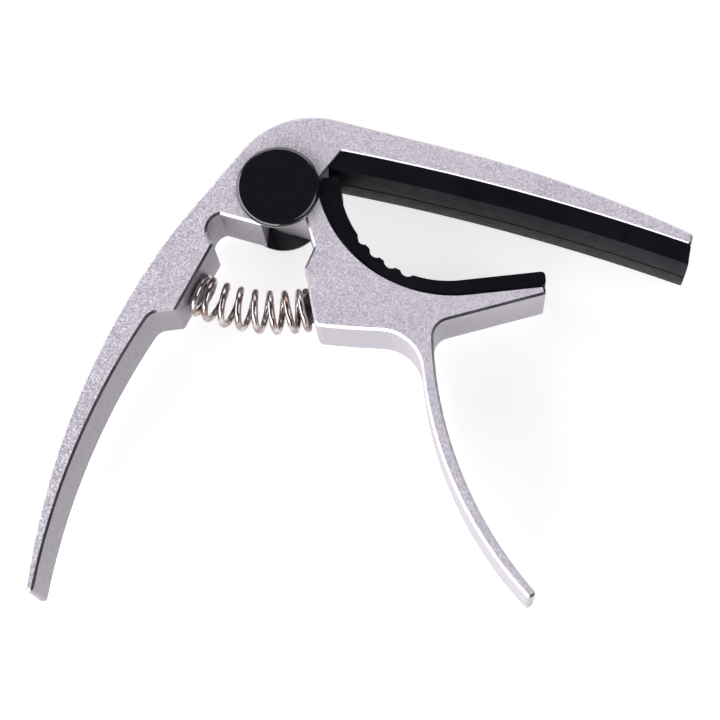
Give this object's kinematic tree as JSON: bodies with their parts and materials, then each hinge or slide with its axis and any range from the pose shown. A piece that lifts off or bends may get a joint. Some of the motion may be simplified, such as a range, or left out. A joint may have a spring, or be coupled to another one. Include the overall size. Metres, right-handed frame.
{
  "type": "guitar capo",
  "caption": "Spring-loaded trigger capo: two satin silver cast arms on one pivot, with black rubber pads that clamp across a guitar's neck.",
  "frame": {"origin": "on the pivot axis, at the outer face of the rear cap, which the capo lies on", "axes": "+X from the pivot along the bar towards its tip, +Y away from the handles, +Z along the pivot from the rear cap to the front cap"},
  "size_m": [0.1086, 0.0812, 0.0154],
  "materials": {
    "casting": "satin silver metallic coat with bright edges",
    "rubber": "matt moulded",
    "pivot_steel": "turned",
    "bushing": "moulded",
    "cap": "polished black",
    "peg": "moulded",
    "spring_steel": "bright drawn wire"
  },
  "bodies": {
    "arm": {"upper_arm": "casting", "string_pad": "rubber", "pivot_post": "pivot_steel", "pivot_screw": "pivot_steel", "front_cap": "cap", "rear_cap": "cap", "arm_spring_peg": "peg", "return_spring": "spring_steel"},
    "jaw": {"lower_jaw": "casting", "neck_pad": "rubber", "front_bushing": "bushing", "rear_bushing": "bushing", "jaw_spring_peg": "peg"}
  },
  "joints": [
    {"name": "jaw_pivot", "type": "hinge", "parent": "arm", "child": "jaw", "pos_m": [0, 0, 0.0077], "axis": [0, 0, -1], "range_deg": [0, 24], "stiffness_Nm_per_rad": 1.15, "springref_deg": -24.64, "deforming": ["return_spring"]}
  ]
}
